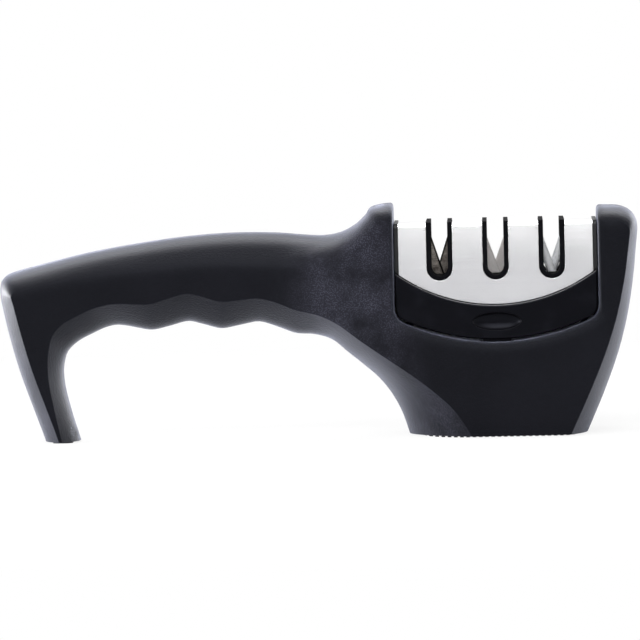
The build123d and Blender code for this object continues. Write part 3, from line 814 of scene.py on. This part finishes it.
class SHARPENER_OT_sharpening_pairs(Operator):
    """Finish the carbide blades, diamond bars and ceramic rods"""

    bl_idname = "sharpener.sharpening_pairs"
    bl_label = "Sharpening pairs"

    def execute(self, context):
        self.carbide()
        self.diamond()
        self.ceramic()
        return {"FINISHED"}

    def carbide(self):
        """Dark ground metal with bright edges"""
        finish = Finish("carbide")
        place = finish.place()
        eased = finish.soft_edges(radius=0.00012)
        edge_wear_and_highlight = finish.edge_mask(eased)
        level_lines = finish.stretched(place, (300.0, 300.0, 6000.0))
        ground = finish.noise(level_lines, detail=4.0, roughness=0.7)
        stain = finish.noise(place, scale=420.0, detail=3.0)
        dark, light = rgba((0.12, 0.105, 0.095)), rgba((0.31, 0.28, 0.255))
        # Painted highlight: the eased edges are lightened as if catching light.
        edge_wear_and_highlight_tone = rgba((0.78, 0.75, 0.70))
        tone = finish.blend(stain.ramp(low=0.35, high=0.65), dark, light)
        tone = finish.blend(edge_wear_and_highlight, tone, edge_wear_and_highlight_tone)
        finish.surface(
            base_color=tone,
            metallic=1.0,
            roughness=0.30 + ground.swing(0.3),
            normal=finish.bumped(ground, distance=0.00001, strength=0.5, normal=eased),
        )
        dress(CARBIDE_BLADES, finish.material)

    def diamond(self):
        """Pale grit, darker where it is clogged, with bright points"""
        finish = Finish("diamond_grit")
        place = finish.place()
        grit = finish.cells(place, scale=9000.0)
        sparkle = finish.noise(place, scale=14000.0).ramp(low=0.62, high=0.70)
        clogged = finish.noise(place, scale=500.0, detail=3.0).ramp(low=0.55, high=0.8)
        grain_tone, gap_tone = rgba((0.86, 0.83, 0.82)), rgba((0.62, 0.59, 0.58))
        clogged_tone, bright_point = rgba((0.50, 0.48, 0.47)), rgba((0.86, 0.84, 0.78))
        tone = finish.blend(grit.ramp(low=0.1, high=0.7), grain_tone, gap_tone)
        tone = finish.blend(clogged * 0.4, tone, clogged_tone)
        tone = finish.blend(sparkle, tone, bright_point)
        finish.surface(
            base_color=tone,
            roughness=0.62 - sparkle * 0.3,
            normal=finish.bumped(grit, distance=0.00006, strength=0.7),
        )
        dress(DIAMOND_BARS, finish.material)

    def ceramic(self):
        """White ceramic with faint grey streaks along the rods"""
        finish = Finish("ceramic")
        place = finish.place()
        pores = finish.noise(place, scale=5000.0, detail=3.0)
        upright_lines = finish.stretched(place, (1800.0, 1800.0, 200.0))
        streaks = finish.noise(upright_lines, detail=3.0).ramp(low=0.55, high=0.75)
        clean, streaked = rgba((0.93, 0.96, 1.0)), rgba((0.74, 0.77, 0.81))
        tone = finish.blend(streaks * 0.4, clean, streaked)
        finish.surface(
            base_color=tone,
            roughness=0.52 + pores.swing(0.2),
            subsurface_weight=0.5,
            subsurface_scale=0.002,
            subsurface_radius=(1.0, 1.0, 1.0),
            normal=finish.bumped(pores, distance=0.00003, strength=0.4),
        )
        dress(CERAMIC_RODS, finish.material)


class SHARPENER_OT_stage(Operator):
    """Make the pale floor, the soft lamps, the room light and the camera"""

    bl_idname = "sharpener.stage"
    bl_label = "Floor, lamps and camera"

    def execute(self, context):
        stage = context.scene.sharpener_stage
        self.camera(context, stage)
        self.floor(context, stage)
        self.lamps(context, stage)
        self.room(context, stage)
        context.scene.view_settings.view_transform = "Standard"
        return {"FINISHED"}

    def camera(self, context, stage):
        """Aims the camera from its two angles, and turns its picture by the roll."""
        lens = bpy.data.cameras.new("camera")
        lens.sensor_width = 36.0
        lens.lens = lens.sensor_width * stage.distance / stage.picture_width
        lens.clip_end = 60.0
        back = Vector(
            (
                math.sin(stage.azimuth) * math.cos(stage.elevation),
                -math.cos(stage.azimuth) * math.cos(stage.elevation),
                math.sin(stage.elevation),
            )
        )
        right = Vector((math.cos(stage.azimuth), math.sin(stage.azimuth), 0.0))
        up = back.cross(right)
        turned_right = right * math.cos(stage.roll) - up * math.sin(stage.roll)
        turned_up = right * math.sin(stage.roll) + up * math.cos(stage.roll)
        turn = Matrix((turned_right, turned_up, back)).transposed()
        place = Vector(stage.aim) + back * stage.distance
        camera = bpy.data.objects.new("camera", lens)
        camera.matrix_world = Matrix.Translation(place) @ turn.to_4x4()
        context.scene.collection.objects.link(camera)
        context.scene.camera = camera

    def floor(self, context, stage):
        """Lays pale paper that keeps the shadow and whitens away from the object."""
        mesh = bpy.data.meshes.new("floor")
        front, reach = -0.5, 12.0
        near = [(-reach, front, 0.0), (reach, front, 0.0)]
        far = [(reach, reach, 0.0), (-reach, reach, 0.0)]
        mesh.from_pydata(near + far, [], [(0, 1, 2, 3)])
        floor = bpy.data.objects.new("floor", mesh)
        context.scene.collection.objects.link(floor)
        finish = Finish("floor_paper")
        place = finish.place()
        fibres = finish.noise(place, scale=900.0, detail=3.0)
        tone = finish.blend(
            fibres,
            rgba(stage.floor_colour, share=0.99),
            rgba(stage.floor_colour, share=1.01),
        )
        paper = finish.node("ShaderNodeBsdfDiffuse", inputs={"Color": tone, "Roughness": 0.6})
        white = finish.node("ShaderNodeEmission", inputs={"Color": WHITE, "Strength": 1.0})
        from_middle = finish.vector_maths("LENGTH", place).out("Value")
        away = from_middle.ramp(low=0.18, high=0.48)
        glow = away * (1 - stage.floor_glow) + stage.floor_glow
        seen = finish.node("ShaderNodeLightPath").out("Is Camera Ray") * glow
        shaders = {0: seen, 1: paper.out("BSDF"), 2: white.out("Emission")}
        finish.join(finish.node("ShaderNodeMixShader", inputs=shaders).out("Shader"))
        mesh.materials.append(finish.material)

    def lamps(self, context, stage):
        """Places the soft boxes round the camera's aim, facing it."""
        middle = Vector(stage.aim)
        for box in SOFT_BOXES:
            width, length = box.size
            lamp = bpy.data.lights.new(box.name, "AREA")
            lamp.shape = "RECTANGLE"
            lamp.size, lamp.size_y = width, length
            lamp.energy = stage.box_light * box.share * math.pi * width * length
            away = box.away()
            made = bpy.data.objects.new(box.name, lamp)
            made.location = middle + away * box.distance
            made.rotation_euler = away.to_track_quat("Z", "Y").to_euler()
            context.scene.collection.objects.link(made)

    def room(self, context, stage):
        """Gives plain light from all round, dimmer behind the camera, and a white backdrop."""
        world = bpy.data.worlds.new("studio")
        context.scene.world = world
        room = Network(world, "ShaderNodeOutputWorld")
        direction = room.node("ShaderNodeTexCoord").out("Generated")
        facing = room.part_of(direction, "Y") * -1.0
        dimmed = 1 - facing.ramp(low=0.55, high=0.9) * stage.front_dimming
        path = room.node("ShaderNodeLightPath")
        glossy = path.out("Is Glossy Ray")
        seen = path.out("Is Camera Ray").largest(path.out("Is Transmission Ray"))
        level = dimmed * (stage.room_light + glossy * (1 - stage.room_light))
        level = level * (1 - seen) + seen
        backdrop = room.node("ShaderNodeBackground", inputs={"Color": WHITE, "Strength": level})
        room.join(backdrop.out("Background"))


class SHARPENER_PT_sidebar(Panel):
    """Lists the steps that finish the sharpener, with their colours and sizes"""

    bl_idname = "SHARPENER_PT_sidebar"
    bl_label = "Sharpener"
    bl_space_type = "VIEW_3D"
    bl_region_type = "UI"
    bl_category = "Sharpener"

    def draw(self, context):
        column = self.layout.column()
        for step in STEPS:
            column.operator(step.bl_idname)
        looks = context.scene.sharpener_looks
        for key in looks.__annotations__:
            column.prop(looks, key)
        stage = context.scene.sharpener_stage
        for key in stage.__annotations__:
            column.prop(stage, key)


STEPS = (
    SHARPENER_OT_stage,
    SHARPENER_OT_shells,
    SHARPENER_OT_inner_mouldings,
    SHARPENER_OT_slot_liners,
    SHARPENER_OT_release_panels,
    SHARPENER_OT_steel_cover,
    SHARPENER_OT_feet,
    SHARPENER_OT_fasteners,
    SHARPENER_OT_release_springs,
    SHARPENER_OT_sharpening_pairs,
)
CLASSES = (SharpenerLooks, StageLooks) + STEPS + (SHARPENER_PT_sidebar,)


def register():
    for made in CLASSES:
        bpy.utils.register_class(made)
    bpy.types.Scene.sharpener_looks = PointerProperty(type=SharpenerLooks)
    bpy.types.Scene.sharpener_stage = PointerProperty(type=StageLooks)


def unregister():
    del bpy.types.Scene.sharpener_stage
    del bpy.types.Scene.sharpener_looks
    for made in reversed(CLASSES):
        bpy.utils.unregister_class(made)


def main():
    register()
    bpy.ops.sharpener.stage()
    bpy.ops.sharpener.shells()
    bpy.ops.sharpener.inner_mouldings()
    bpy.ops.sharpener.slot_liners()
    bpy.ops.sharpener.release_panels()
    bpy.ops.sharpener.steel_cover()
    bpy.ops.sharpener.feet()
    bpy.ops.sharpener.fasteners()
    bpy.ops.sharpener.release_springs()
    bpy.ops.sharpener.sharpening_pairs()


if __name__ == "__main__":
    main()
